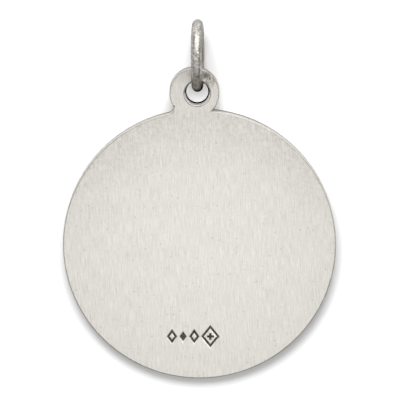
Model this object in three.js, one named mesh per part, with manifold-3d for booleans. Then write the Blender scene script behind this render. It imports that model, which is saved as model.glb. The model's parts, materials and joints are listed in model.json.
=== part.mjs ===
// A round devotional medal of silver with a pierced ear and a soldered jump ring.
// It lies face down on a flat surface, its plain brushed back upwards, and the jump ring stands
// upright through the ear, so it lifts the ear end a little. Millimetres, +Z up, +Y towards the ear.
// The origin is on the surface, under the middle of the whole piece.

import * as THREE from "three";
import { mergeVertices } from "three/addons/utils/BufferGeometryUtils.js";
import Module from "manifold-3d";

const wasm = await Module();
wasm.setup();

// Disc
const DISC_DIAMETER = 25;
const THICKNESS = 1.4;
const EDGE_BEVEL = 0.06;

// Jump ring of round wire, turned a little about the Y axis
const RING_BORE = 4.61;
const RING_WIRE = 1.02;
const RING_TURN = THREE.MathUtils.degToRad(-1.8);
const RING_CLEARANCE = 0.045;

// Hole in the ear, drilled off its middle, with the play it leaves round the wire at the back.
// It narrows a little towards the front, where a lip is left, and the ring has worn a notch in its top.
const HOLE_PLAY = 1.38;
const HOLE_SHIFT = 0.26;
const HOLE_TAPER = 0.12;
const LIP_WIDTH = 0.13;
const LIP_SLOPE = 0.1;
const LIP_THICKNESS = 0.2;
const NOTCH_PLAY = 0.22;
const NOTCH_DEPTH = 0.02;

// Ear: the wall round its hole, how deep it is let into the disc, and how far it is set to the left
const EAR_WALL = 1.08;
const EAR_SEAT = 0.66;
const EAR_SHIFT = -0.46;
const NECK_FILLET = 0.55;

// Front: a raised rim round a sunk field
const RIM_WIDTH = 1.1;
const FIELD_DEPTH = 0.4;
const FIELD_SLOPE = 0.25;
const RELIEF_SINK = 0.15;

// Beaded border at the foot of the rim
const BEAD_PITCH = 1.16;
const BEAD_DIAMETER = 0.6;
const BEAD_GAP = 0.1;

// Latin cross with flared arms
const CROSS_LENGTH = 13.6;
const CROSS_SPAN = 9.4;
const CROSS_ABOVE_BAR = 4.7;
const CROSS_WAIST = 1.3;
const CROSS_FLARE = 2.3;
const CROSS_RELIEF = 0.32;
const CROSS_BEVEL = 0.12;

// Rays between the arms: three in each corner, each turned in degrees and cut to a share of the length
const RAYS = [
  { turn: -17, share: 0.7 },
  { turn: 0, share: 1 },
  { turn: 17, share: 0.7 },
];
const RAY_START = 1.9;
const RAY_LENGTH = 5.6;
const RAY_WIDTH = 0.62;
const RAY_RELIEF = 0.18;

// Struck marks low on the back: three small diamonds and a lozenge with a cross in it
const MARK_FROM_EDGE = 3.95;
const MARK_DEPTH = 0.12;
const MARK_LINE = 0.2;
const DIAMOND_WIDTH = 0.86;
const DIAMOND_HEIGHT = 1.24;
const DIAMOND_PITCH = 1.02;
const DIAMOND_COUNT = 3;
const DIAMONDS_START = -2.52;
const LOZENGE_WIDTH = 1.6;
const LOZENGE_HEIGHT = 2.0;
const LOZENGE_X = 1.0;
const SMALL_CROSS_SPAN = 0.64;

// Fineness of the round shapes
const DISC_STEP = THREE.MathUtils.degToRad(3);
const EAR_STEP = THREE.MathUtils.degToRad(7.5);
const FILLET_STEP = THREE.MathUtils.degToRad(20);
const HOLE_SIDES = 40;
const NOTCH_SIDES = 24;
const FIELD_SIDES = 120;
const RING_STEPS = 48;
const WIRE_SIDES = 16;
const BEAD_SIDES = 8;
const BEAD_RINGS = 6;

// How far a cutting shape reaches past what it cuts, and how near two corners count as one
const CUT_MARGIN = 0.5;
const SAME_POINT = 1e-4;

// Worked-out places. The medal's own frame has its origin at the middle of the back face.
const DISC_RADIUS = DISC_DIAMETER / 2;
const FRONT_Z = -THICKNESS;
const FIELD_Z = FRONT_Z + FIELD_DEPTH;
const FIELD_RADIUS = DISC_RADIUS - RIM_WIDTH;
const HOLE_RADIUS = (RING_WIRE + HOLE_PLAY) / 2;
const EAR_RADIUS = HOLE_RADIUS + EAR_WALL;
const EAR_CENTRE = new THREE.Vector2(EAR_SHIFT, DISC_RADIUS - EAR_SEAT + EAR_RADIUS);
const HOLE_CENTRE = new THREE.Vector2(EAR_SHIFT + HOLE_SHIFT, EAR_CENTRE.y);
const NOTCH_RADIUS = (RING_WIRE + NOTCH_PLAY) / 2;
const NOTCH_TOP_Y = HOLE_CENTRE.y + HOLE_RADIUS + NOTCH_DEPTH;
const WIRE_RADIUS = RING_WIRE / 2;
const RING_INNER_RADIUS = RING_BORE / 2;
const RING_MEAN_RADIUS = RING_INNER_RADIUS + WIRE_RADIUS;
const CROSS_CENTRE_Y = CROSS_LENGTH / 2 - CROSS_ABOVE_BAR;
const MARK_Y = MARK_FROM_EDGE - DISC_RADIUS;

const silver = new THREE.MeshStandardMaterial({ color: 0xcdcac4, roughness: 0.42, metalness: 1 });
const wireSilver = new THREE.MeshStandardMaterial({ color: 0xb4b1aa, roughness: 0.3, metalness: 1 });

// A closed geometry as a solid that can be cut and joined
function toSolid(geometry) {
  const bare = geometry.clone();
  bare.deleteAttribute("normal");
  bare.deleteAttribute("uv");
  const merged = mergeVertices(bare, SAME_POINT);
  const corners = merged.index.array;
  const triangles = [];
  for (let i = 0; i < corners.length; i += 3) {
    const [a, b, c] = corners.slice(i, i + 3);
    if (a !== b && b !== c && c !== a) {
      triangles.push(a, b, c);
    }
  }
  return new wasm.Manifold(new wasm.Mesh({
    numProp: 3,
    vertProperties: Float32Array.from(merged.attributes.position.array),
    triVerts: Uint32Array.from(triangles),
  }));
}

function toGeometry(solid) {
  const mesh = solid.getMesh();
  const geometry = new THREE.BufferGeometry();
  geometry.setAttribute("position", new THREE.BufferAttribute(mesh.vertProperties, 3));
  geometry.setIndex(new THREE.BufferAttribute(mesh.triVerts, 1));
  geometry.computeVertexNormals();
  return geometry;
}

// A turned solid about the Z axis, from (radius, height) pairs that start and end on the axis
function turned(profile, sides) {
  const points = profile.map(([radius, height]) => new THREE.Vector2(radius, height));
  return new THREE.LatheGeometry(points, sides).rotateX(Math.PI / 2);
}

// Points along an arc. The inner ones lie at whole steps, so a full circle has a corner at each quarter.
function arcPoints(centre, radius, from, to, step) {
  const direction = Math.sign(to - from);
  const angles = [from];
  let next = direction * step * (Math.floor((direction * from) / step + 0.5) + 1);
  while (direction * (to - next) > step / 2) {
    angles.push(next);
    next += direction * step;
  }
  angles.push(to);
  return angles.map((angle) => new THREE.Vector2(
    centre.x + radius * Math.cos(angle),
    centre.y + radius * Math.sin(angle),
  ));
}

// Where a circle about the disc's centre meets one about the ear's centre, on the given side
function crossing(radiusFromDisc, radiusFromEar, side) {
  const distance = EAR_CENTRE.length();
  const along = (radiusFromDisc ** 2 - radiusFromEar ** 2 + distance ** 2) / (2 * distance);
  const across = Math.sqrt(radiusFromDisc ** 2 - along ** 2);
  const up = EAR_CENTRE.clone().normalize();
  const right = new THREE.Vector2(up.y, -up.x);
  return up.multiplyScalar(along).addScaledVector(right, side * across);
}

function angleFrom(centre, point) {
  return Math.atan2(point.y - centre.y, point.x - centre.x);
}

// Disc and ear in one outline: a sharp corner at the right of the neck and a fillet at the left
function medalOutline() {
  const middle = new THREE.Vector2(0, 0);
  const fullTurn = 2 * Math.PI;
  const rightNeck = crossing(DISC_RADIUS, EAR_RADIUS, 1);
  const fillet = crossing(DISC_RADIUS + NECK_FILLET, EAR_RADIUS + NECK_FILLET, -1);
  const earLeft = angleFrom(EAR_CENTRE, fillet) + fullTurn;
  const discLeft = angleFrom(middle, fillet);
  const discRight = angleFrom(middle, rightNeck) + fullTurn;
  const ear = arcPoints(EAR_CENTRE, EAR_RADIUS, angleFrom(EAR_CENTRE, rightNeck), earLeft, EAR_STEP);
  const neck = arcPoints(fillet, NECK_FILLET, earLeft - Math.PI, discLeft - Math.PI, FILLET_STEP);
  const disc = arcPoints(middle, DISC_RADIUS, discLeft, discRight, DISC_STEP);
  return [...ear, ...neck.slice(1), ...disc.slice(1, -1)];
}

// The blank: the outline through the whole thickness, with both its edges eased
function blank() {
  const geometry = new THREE.ExtrudeGeometry(new THREE.Shape(medalOutline()), {
    depth: THICKNESS - 2 * EDGE_BEVEL,
    bevelThickness: EDGE_BEVEL,
    bevelSize: EDGE_BEVEL,
    bevelOffset: -EDGE_BEVEL,
    bevelSegments: 1,
  });
  return toSolid(geometry.translate(0, 0, FRONT_Z + EDGE_BEVEL));
}

// The ear hole, from its wide end at the back to the lip at the front
function earHole() {
  const waist = HOLE_RADIUS - HOLE_TAPER;
  const lip = waist - LIP_WIDTH;
  const lipTop = FRONT_Z + LIP_THICKNESS;
  const geometry = turned([
    [0, FRONT_Z - CUT_MARGIN],
    [lip, FRONT_Z - CUT_MARGIN],
    [lip, lipTop],
    [waist, lipTop + LIP_SLOPE],
    [HOLE_RADIUS, 0],
    [HOLE_RADIUS, CUT_MARGIN],
    [0, CUT_MARGIN],
  ], HOLE_SIDES);
  return toSolid(geometry.translate(HOLE_CENTRE.x, HOLE_CENTRE.y, 0));
}

// The notch that the ring has worn in the top of the hole
function wornNotch() {
  const geometry = turned([
    [0, FRONT_Z - CUT_MARGIN],
    [NOTCH_RADIUS, FRONT_Z - CUT_MARGIN],
    [NOTCH_RADIUS, CUT_MARGIN],
    [0, CUT_MARGIN],
  ], NOTCH_SIDES);
  return toSolid(geometry.translate(HOLE_CENTRE.x, NOTCH_TOP_Y - NOTCH_RADIUS, 0));
}

// The sunk field of the front, with a sloping foot to the rim
function field() {
  const opening = FIELD_RADIUS + (FIELD_SLOPE * CUT_MARGIN) / FIELD_DEPTH;
  return toSolid(turned([
    [0, FRONT_Z - CUT_MARGIN],
    [opening, FRONT_Z - CUT_MARGIN],
    [FIELD_RADIUS - FIELD_SLOPE, FIELD_Z],
    [0, FIELD_Z],
  ], FIELD_SIDES));
}

// A flat figure that stands up from the field towards the front
function raised(points, relief, bevel) {
  const geometry = new THREE.ExtrudeGeometry(new THREE.Shape(points), {
    depth: relief + RELIEF_SINK - 2 * bevel,
    bevelEnabled: bevel > 0,
    bevelThickness: bevel,
    bevelSize: bevel,
    bevelOffset: -bevel,
    bevelSegments: 1,
  });
  return toSolid(geometry.translate(0, 0, FIELD_Z - relief + bevel));
}

// One arm of the cross points along its angle, from a corner of the waist out to the flared end and back
function armPoints(angle, length) {
  const waist = CROSS_WAIST / 2;
  const flare = CROSS_FLARE / 2;
  const arm = [[waist, -waist], [length, -flare], [length, flare]];
  const origin = new THREE.Vector2(0, 0);
  return arm.map(([x, y]) => new THREE.Vector2(x, y).rotateAround(origin, angle));
}

function cross() {
  const side = CROSS_SPAN / 2;
  const lengths = [side, CROSS_ABOVE_BAR, side, CROSS_LENGTH - CROSS_ABOVE_BAR];
  const points = lengths.flatMap((length, turn) => armPoints((turn * Math.PI) / 2, length));
  return raised(points, CROSS_RELIEF, CROSS_BEVEL).translate([0, CROSS_CENTRE_Y, 0]);
}

// A ray widens from its foot to its end, and the end is pointed
function ray(angle, length) {
  const end = RAY_START + length;
  const half = RAY_WIDTH / 2;
  const origin = new THREE.Vector2(0, 0);
  const kite = [[RAY_START, 0], [end, -half], [end + RAY_WIDTH, 0], [end, half]];
  const points = kite.map(([x, y]) => new THREE.Vector2(x, y).rotateAround(origin, angle));
  return raised(points, RAY_RELIEF, 0).translate([0, CROSS_CENTRE_Y, 0]);
}

function rays() {
  const corners = [45, 135, 225, 315];
  return corners.flatMap((corner) => RAYS.map(
    ({ turn, share }) => ray(THREE.MathUtils.degToRad(corner + turn), share * RAY_LENGTH),
  ));
}

// A border of round beads on the field, just inside the foot of the rim
function beads() {
  const radius = BEAD_DIAMETER / 2;
  const path = FIELD_RADIUS - FIELD_SLOPE - BEAD_GAP - radius;
  const count = Math.round((2 * Math.PI * path) / BEAD_PITCH);
  const solids = [];
  for (let i = 0; i < count; i += 1) {
    const angle = (i * 2 * Math.PI) / count;
    const bead = new THREE.SphereGeometry(radius, BEAD_SIDES, BEAD_RINGS).rotateX(Math.PI / 2);
    bead.translate(path * Math.cos(angle), path * Math.sin(angle), FIELD_Z);
    solids.push(toSolid(bead));
  }
  return solids;
}

function diamondPath(width, height) {
  return [[width / 2, 0], [0, height / 2], [-width / 2, 0], [0, -height / 2]]
    .map(([x, y]) => new THREE.Vector2(x, y));
}

// A diamond cut as a line of even width round a small island
function diamondLine(width, height) {
  const slant = Math.hypot(width, height);
  const shape = new THREE.Shape(diamondPath(width, height));
  const inner = diamondPath(
    width - (2 * MARK_LINE * slant) / height,
    height - (2 * MARK_LINE * slant) / width,
  );
  shape.holes.push(new THREE.Path(inner));
  return shape;
}

// A plain cross with equal arms, for the middle of the lozenge
function smallCross() {
  const half = MARK_LINE / 2;
  const reach = SMALL_CROSS_SPAN / 2;
  const quarter = [[half, half], [half, reach], [-half, reach]];
  const origin = new THREE.Vector2(0, 0);
  const points = [0, 1, 2, 3].flatMap((turn) => quarter.map(
    ([x, y]) => new THREE.Vector2(x, y).rotateAround(origin, (turn * Math.PI) / 2),
  ));
  return new THREE.Shape(points);
}

function struck(shape, x) {
  const geometry = new THREE.ExtrudeGeometry(shape, {
    depth: MARK_DEPTH + CUT_MARGIN,
    bevelEnabled: false,
  });
  return toSolid(geometry.translate(x, MARK_Y, -MARK_DEPTH));
}

// Every second diamond is struck full, the others as a line
function marks() {
  const full = new THREE.Shape(diamondPath(DIAMOND_WIDTH, DIAMOND_HEIGHT));
  const line = diamondLine(DIAMOND_WIDTH, DIAMOND_HEIGHT);
  const solids = [];
  for (let i = 0; i < DIAMOND_COUNT; i += 1) {
    solids.push(struck(i % 2 === 0 ? line : full, DIAMONDS_START + i * DIAMOND_PITCH));
  }
  solids.push(struck(diamondLine(LOZENGE_WIDTH, LOZENGE_HEIGHT), LOZENGE_X));
  solids.push(struck(smallCross(), LOZENGE_X));
  return solids;
}

function makeMedal() {
  const cuts = [field(), earHole(), wornNotch(), ...marks()];
  const reliefs = [cross(), ...rays(), ...beads()];
  const cut = cuts.reduce((solid, piece) => solid.subtract(piece), blank());
  const whole = reliefs.reduce((solid, piece) => solid.add(piece), cut);
  const mesh = new THREE.Mesh(toGeometry(whole), silver);
  mesh.name = "medal";
  return mesh;
}

function makeJumpRing() {
  const geometry = new THREE.TorusGeometry(RING_MEAN_RADIUS, WIRE_RADIUS, WIRE_SIDES, RING_STEPS);
  geometry.rotateY(Math.PI / 2 + RING_TURN);
  const mesh = new THREE.Mesh(geometry, wireSilver);
  mesh.name = "jump_ring";
  return mesh;
}

// The ring's centre in the medal's frame: pulled up until its inside meets the notch at both faces
function ringPlace() {
  const middle = THICKNESS / 2;
  const reach = Math.sqrt(RING_INNER_RADIUS ** 2 - middle ** 2);
  return new THREE.Vector3(HOLE_CENTRE.x, NOTCH_TOP_Y + reach - RING_CLEARANCE, -middle);
}

// The lean at which the front edge of the disc and the foot of the upright ring share one surface
function leanAngle(place) {
  const standing = RING_MEAN_RADIUS * Math.cos(RING_TURN) + WIRE_RADIUS;
  const along = place.y + DISC_RADIUS - EDGE_BEVEL;
  const above = place.z - FRONT_Z;
  return Math.asin(standing / Math.hypot(along, above)) - Math.atan2(above, along);
}

function makePendant() {
  const place = ringPlace();
  const medal = makeMedal();
  const ring = makeJumpRing();
  medal.rotation.x = leanAngle(place);
  ring.position.copy(place.applyEuler(medal.rotation));
  const pendant = new THREE.Group();
  pendant.add(medal, ring);
  pendant.updateMatrixWorld(true);
  const box = new THREE.Box3().setFromObject(pendant, true);
  const foot = box.getCenter(new THREE.Vector3()).setZ(box.min.z);
  pendant.children.forEach((mesh) => mesh.position.sub(foot));
  return pendant;
}

export default makePendant();
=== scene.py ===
"""Round silver medal lying face down, its brushed back up, with a jump ring upright in its ear."""

import json
import math

import bmesh
import bpy
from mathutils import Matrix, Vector


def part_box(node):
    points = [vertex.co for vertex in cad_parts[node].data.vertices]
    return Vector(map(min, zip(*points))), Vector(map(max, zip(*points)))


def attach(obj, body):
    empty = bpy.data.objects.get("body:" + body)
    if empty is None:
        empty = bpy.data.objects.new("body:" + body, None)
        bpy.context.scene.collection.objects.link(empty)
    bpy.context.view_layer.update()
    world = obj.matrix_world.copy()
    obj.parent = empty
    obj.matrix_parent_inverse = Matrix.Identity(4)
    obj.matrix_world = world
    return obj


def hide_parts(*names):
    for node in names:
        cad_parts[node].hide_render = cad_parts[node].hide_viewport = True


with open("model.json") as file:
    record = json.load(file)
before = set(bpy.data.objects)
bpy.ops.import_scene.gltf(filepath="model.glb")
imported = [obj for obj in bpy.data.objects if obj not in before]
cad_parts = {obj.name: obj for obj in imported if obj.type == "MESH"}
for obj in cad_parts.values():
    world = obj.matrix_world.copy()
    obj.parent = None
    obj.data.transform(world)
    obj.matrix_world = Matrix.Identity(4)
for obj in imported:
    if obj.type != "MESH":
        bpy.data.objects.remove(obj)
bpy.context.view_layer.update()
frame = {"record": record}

# Pieces are modelled in millimetres and brought to metres when they are finished.
MM = 0.001

# The medal's own frame, from the frame's flat back: origin at the middle of the back face,
# Z out of the back, Y towards the ear. It leans about X because the ring holds the ear end up.
BACK = frame["record"]["mounts"][0]
MEDAL_ORIGIN = Vector(BACK["pos_m"])
LEAN = math.atan2(-BACK["axis"][1], BACK["axis"][2])

# Disc
MEDAL_LOW, MEDAL_HIGH = (Vector(corner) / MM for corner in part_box("medal"))
DISC_RADIUS = (MEDAL_HIGH.x - MEDAL_LOW.x) / 2
THICKNESS = 1.4
EDGE_EASE = 0.09
DISC_STEPS = 300

# Ear and neck
EAR_RADIUS = 2.28
EAR_CENTRE = Vector((-0.46, 14.12))
NECK_FILLET = 0.55
EAR_STEPS = 110
FILLET_STEPS = 14

# Ear hole: it narrows from the back to a lip at the front, and the ring has worn a notch in its top.
# PAST is how far a cutting piece goes beyond the face that it cuts.
PAST = 0.2
HOLE_CENTRE = Vector((-0.2, 14.12))
HOLE_RADIUS = 1.2
HOLE_WAIST = 1.09
HOLE_LIP = 1.0
LIP_DROP = 0.05
LIP_TOP_Z = -THICKNESS + 0.2
LIP_SLOPE = 0.1
HOLE_EASE = 0.1
NOTCH_RADIUS = 0.62
NOTCH_Y = 14.72
HOLE_SIDES = 96
NOTCH_SIDES = 64

# Front: rim, sunk field, beads, cross and rays
RIM_WIDTH = 1.1
FIELD_DEPTH = 0.4
FIELD_SLOPE = 0.25
FIELD_SIDES = 288
FIELD_RADIUS = DISC_RADIUS - RIM_WIDTH
FIELD_Z = -THICKNESS + FIELD_DEPTH
RIM_EASE = 0.06
BEAD_RADIUS = 0.3
BEAD_GAP = 0.1
BEAD_PATH = FIELD_RADIUS - FIELD_SLOPE - BEAD_GAP - BEAD_RADIUS
BEAD_COUNT = 57
CROSS_BAR_Y = 2.1
CROSS_ARMS = {"right": 4.7, "up": 4.7, "left": 4.7, "down": 8.9}
CROSS_WAIST = 1.3
CROSS_FLARE = 2.3
CROSS_RELIEF = 0.32
CROSS_EASE = 0.12
RELIEF_SINK = 0.15
RELIEF_FOOT_Z = FIELD_Z + 0.013
RAYS = [{"turn": -17, "length": 3.92}, {"turn": 0, "length": 5.6}, {"turn": 17, "length": 3.92}]
RAY_START = 1.9
RAY_WIDTH = 0.62
RAY_FOOT = 0.04
RAY_TIP = 0.1
RAY_RELIEF = 0.18

# Struck marks on the back. Each line is a deep groove, and a soft one lies below it towards the foot,
# which leaves a shallow slope beside the line.
MARK_Y = -8.55
MARK_GROOVE = 0.15
DIAMOND_SIZE = Vector((0.86, 1.24))
DIAMOND_XS = (-2.52, -1.5, -0.48)
LOZENGE_SIZE = Vector((1.6, 2.0))
LOZENGE_X = 1.0
MARK_LIFT = 0.03
SOFT_GROOVE = 0.2
SOFT_DEPTH = 0.055
SOFT_DROP = 0.16
LINE_INSET = 0.6 * MARK_GROOVE
DEEP_LINE = {"y": MARK_Y, "rise": MARK_LIFT, "radius": MARK_GROOVE, "sides": 14}
SOFT_LINE = {"y": MARK_Y - SOFT_DROP, "rise": SOFT_GROOVE - SOFT_DEPTH, "radius": SOFT_GROOVE, "sides": 24}

MARK_EASE = 0.06
SMALL_EASE = 0.02
MARKS_REACH = 3.5

# Full diamond: the sizes of its soft line, floor and top as shares of an open diamond, and its punch
FULL_DIAMOND = 0.75
PIT_FLOOR = 0.3
PIT_TOP = 0.66
PIT_HEIGHT = 2.4 * MARK_GROOVE
PIT_LIFT = 0.4 * MARK_GROOVE

# Small cross in the lozenge
SMALL_CROSS_SPAN = 0.64
SMALL_CROSS_WIDTH = 1.4 * MARK_GROOVE
SMALL_CROSS_HEIGHT = 1.5 * MARK_GROOVE
SMALL_CROSS_EASE = 0.3 * MARK_GROOVE
SMALL_CROSS_REACH = 0.6 * SMALL_CROSS_SPAN

# How near two places count as one, and how near two points of the outline are merged
SAME_PLACE = 0.001
SAME_POINT = 0.005

# How sharp an edge is that gets rounded, on the medal and on the crosses, or stays a crease
SHARP_ANGLE = math.radians(25)
BEVEL_ANGLE = math.radians(40)
CREASE_ANGLE = math.radians(35)

# Jump ring
RING_LOW, RING_HIGH = (Vector(corner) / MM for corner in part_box("jump_ring"))
RING_CENTRE = (RING_LOW + RING_HIGH) / 2
WIRE_RADIUS = 0.508
RING_MEAN_RADIUS = (RING_HIGH.y - RING_LOW.y) / 2 - WIRE_RADIUS
RING_TURN = math.radians(-2.4)
RING_NUDGE = Vector((0.03, 0, 0))
WIRE_UNEVEN = 0.02
UNEVEN_LENGTH = 0.7
RING_STEPS = 300
WIRE_SIDES = 64

# Round pip of the soldered joint on the upper wire, from the ring's centre
PIP_WAY = Vector((0.276, 0.16, 0.948))
PIP_PLACE = Vector((0.09, 0.57, 3.26))
PIP_RADIUS = 0.17
PIP_RISE = 0.03
PIP_SINK = 0.05
PIP_EDGE = 0.06
PIP_HEART = 0.05
PIP_DARK = 0.9
SPOT_PLACE = (-0.28, -0.62, 3.1)
STREAK_SIDE = 0.3

# Finishes. The tarnish and oxide colours also serve as painted shade.
SILVER_LOW = (0.635, 0.608, 0.562, 1)
SILVER_HIGH = (0.955, 0.928, 0.88, 1)
TARNISH_AND_SHADE = (0.20, 0.185, 0.16, 1)
OXIDE_AND_SHADE = (0.03, 0.028, 0.026, 1)
WIRE_LOW = (0.26, 0.25, 0.23, 1)
WIRE_HIGH = (0.72, 0.705, 0.665, 1)
WIRE_EDGE = (0.75, 0.75, 0.75, 1)
WHITE = (1, 1, 1, 1)
BRUSH_TILT = math.radians(-3)
NICK_PLACE = (-2.2, 12.96, 0)
# Place and size of the painted shadow of the ring on the ear.
RING_SHADOW_PLACE = (0.8, 15.65, 0)
RING_SHADOW_RADIUS = 1.15

# Noises: waves to a millimetre, detail and roughness
BRUSH_NOISE = (1.0, 3.0, 0.7)
BROAD_NOISE = (1.0, 2.0, 0.5)
STREAK_NOISE = (1.0, 4.0, 0.7)
MOTTLE_NOISE = (3.5, 3.0, 0.6)
CLOUD_NOISE = (0.3, 2.0, 0.5)
COARSE_NOISE = (2.4, 4.0, 0.75)
EDGE_NOISE = (1.3, 4.0, 0.7)
HOLE_NOISE = (2.2, 2.0, 0.5)
MARK_NOISE = (6.0, 2.0, 0.5)
WIRE_CLOUD_NOISE = (1.1, 3.0, 0.6)
WIRE_SPECK_NOISE = (4.5, 3.0, 0.65)

# Pits: cells of the net to a millimetre, share of the cells without a pit, and the pit's radius.
# Then their darkness and their depth in the relief.
MEDAL_PITS = (1.7, 0.5, 0.12)
WIRE_PITS = (3.0, 0.5, 0.07)
MEDAL_PIT_DARK = 0.22
MEDAL_PIT_DEPTH = 0.5
WIRE_PIT_DARK = 0.6
WIRE_PIT_DEPTH = 0.6
PIT_BOTTOM = 0.3
PIT_BLEND = 0.02

# Ramps: a noise's low and high, and the roughness there
MEDAL_ROUGH = (0.3, 0.7, 0.36, 0.5)
WIRE_ROUGH = (0.35, 0.65, 0.27, 0.4)

# The tone's low and high, where the metal has its dark and its light colour
MEDAL_TONE = (0.2, 0.7)
WIRE_TONE = (0.43, 0.62)

# Relief of the finish, with its depth in metres
MEDAL_BUMP = {"Strength": 0.45, "Distance": 0.00002}
WIRE_BUMP = {"Strength": 0.5, "Distance": 0.00004}

# How much a noise is squeezed along X, Y and Z, so that its spots become brush lines
FINE_LINES = (11, 0.7, 4)
BROAD_LINES = (3.2, 0.22, 2)
TICK_LINES = (9, 1.2, 4)
STREAK_LINES = (5, 2.0, 2)

# Bands, as the places where they start, are full, fade and end: the line inside the medal's outline,
# the line round the ear hole and the dark rim of the pip
EDGE_LINE = (0.0, 0.04, 0.09, 0.13)
HOLE_LINE = (HOLE_RADIUS - 0.02, HOLE_RADIUS, HOLE_RADIUS + 0.05, HOLE_RADIUS + 0.09)
PIP_LINE = (PIP_RADIUS - PIP_EDGE, PIP_RADIUS, PIP_RADIUS, PIP_RADIUS + PIP_EDGE)

# Spans over which a finish or a painted shade of the medal comes in or goes: depths inside the outline,
# distances from a place, heights in the medal's Z or places along its Y
WALL_SPAN = (0.1, 0.05)
FRAYED_SPAN = (0.75, 0.1)
# The next three place painted shade: on the wall's foot, on its shoulder and towards the bottom.
FOOT_SHADE_SPAN = (-0.7, -1.2)
SHOULDER_SHADE_SPAN = (-0.14, -0.08)
LOW_SHADE_SPAN = (4, -9)
RIM_SPAN = (7, DISC_RADIUS)
RIM_HIGH_SPAN = (0, 8)
RIM_NECK_SPAN = (11.8, 12.8)
CORNER_SPAN = (0.35, 0.1)
CORNER_FOOT_SPAN = (-0.6, -1.0)
BESIDE_CORNER_SPAN = (6.5, 2.0)
NICK_SPAN = (0.2, 0.08)
NICK_DEPTH_SPAN = (0.2, 0.12)
RING_SHADOW_SPAN = (RING_SHADOW_RADIUS, 0.3)
EAR_TOP_SPAN = (15.0, 16.3)
LIP_SPAN = (LIP_TOP_Z + 0.46, LIP_TOP_Z + 0.36)
MOUTH_SPAN = (HOLE_RADIUS + 0.01, HOLE_RADIUS - 0.02)
MOUTH_HIGH_SPAN = (HOLE_CENTRE.y - 0.2, HOLE_CENTRE.y + 0.2)
MARK_DEPTH_SPAN = (-0.095, -0.06)
FIELD_ABOVE_SPAN = (FIELD_Z - 0.22, FIELD_Z)
FIELD_BELOW_SPAN = (FIELD_Z + 0.02, FIELD_Z + 0.1)
HOLE_SPAN = (HOLE_RADIUS + 0.02, HOLE_RADIUS + 0.1)

# Box that keeps the oxide to the marks: its middle in X, and the spans over which it ends
MARKS_MIDDLE_X = -0.75
MARKS_ACROSS_SPAN = (2.9, 3.1)
MARKS_ALONG_SPAN = (1.3, 1.5)
MARKS_BACK_SPAN = (-0.5, -0.45)

# Spans on the wire from the ring's centre: along Y, or to the side or along Z where the name says so.
# The spot's is a distance from the spot.
SHINE_FOOT_SPAN = (0.3, 0.9)
SHINE_TOP_SPAN = (1.9, 2.2)
RING_TOP_SPAN = (2.65, 3.0)
BELOW_SHINE_SPANS = ((0.7, 0.85), (1.0, 1.2))
LOW_END_SPAN = (-0.6, -2.2)
LEFT_LOW_SPAN = (1.1, 0.6)
LEFT_HIGH_SPAN = (2.1, 2.4)
RIGHT_SPAN = (0.8, 0.5)
FLANK_SIDE_SPAN = (0.3, 0.46)
STREAK_SIDE_SPAN = (0.11, 0.04)
STREAK_SPAN = (1.0, 0.7)
UNDERSIDE_Z_SPAN = (0.4, -0.8)
SPOT_SPAN = (0.14, 0.07)
# The next two place painted shade on the wire in the ear hole.
HOLE_SHADE_SPAN = (-2.0, -2.8)
HOLE_SHADE_SIDE_SPAN = (0.3, 0.42)
TIP_SPAN = (-2.2, -2.6)
TIP_Z_SPAN = (1.4, 1.0)

# Table and light. The two glows stand for light that comes through the ear hole and past the neck.
FLOOR_SIZE = 3.0
FLOOR_Z = 0.0
FLOOR_COLOUR = (0.76, 0.76, 0.76, 1)
FLOOR_ROUGH = 0.9
FLOOR_SHINE = 0.1
HOLE_GLOW = 0.55
HOLE_GLOW_SPAN = (1.5, 1.1)
HOLE_GLOW_LOW_SPAN = (14.5, 13.2)
NECK_GLOW = 0.27
NECK_GLOW_SPAN = (2.3, 0.5)
NECK_GLOW_PLACE = (2.9, 12.3, 0)
TENT_LOW_HEIGHT = 0.05
TENT_HIGH_HEIGHT = 0.75
TENT_LOW = 0.3
TENT_HIGH = 0.9
TENT_SEEN = 0.95
KEY_PLACE = (0.11, 0.46, 0.305)
KEY_WIDTH = 0.85
KEY_HEIGHT = 0.78
KEY_RADIANCE = 2.4
FILL_PLACE = (-0.04, 0.33, 0.5)
FILL_WIDTH = 0.3
FILL_RADIANCE = 14.0

# Photograph's view: how far off square to the back it looks, and the millimetres that it spans
VIEW_OFF_SQUARE = math.radians(10.9)
VIEW_WIDTH = 36.63
VIEW_SHIFT = Vector((0.05, 4.15))
CAMERA_DISTANCE = 0.5
SENSOR_WIDTH = 36
CLIP_START = 0.01


def deselect():
    if bpy.context.mode != "OBJECT":
        bpy.ops.object.mode_set(mode="OBJECT")
    bpy.ops.object.select_all(action="DESELECT")


def activate(piece):
    deselect()
    piece.select_set(True)
    bpy.context.view_layer.objects.active = piece


def named(name):
    piece = bpy.context.active_object
    piece.name = name
    piece.data.name = name
    return piece


def apply_place(piece):
    activate(piece)
    bpy.ops.object.transform_apply(location=True, rotation=True, scale=True)


def cylinder(name, radius, depth, centre, sides):
    deselect()
    bpy.ops.mesh.primitive_cylinder_add(vertices=sides, radius=radius, depth=depth, location=centre)
    piece = named(name)
    apply_place(piece)
    return piece


def joined(pieces):
    deselect()
    for piece in pieces:
        piece.select_set(True)
    bpy.context.view_layer.objects.active = pieces[0]
    bpy.ops.object.join()
    return pieces[0]


def boolean(piece, tool, operation):
    modifier = piece.modifiers.new("boolean", "BOOLEAN")
    modifier.operation = operation
    modifier.solver = "EXACT"
    modifier.object = tool
    activate(piece)
    bpy.ops.object.modifier_apply(modifier=modifier.name)
    bpy.data.objects.remove(tool)


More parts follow.
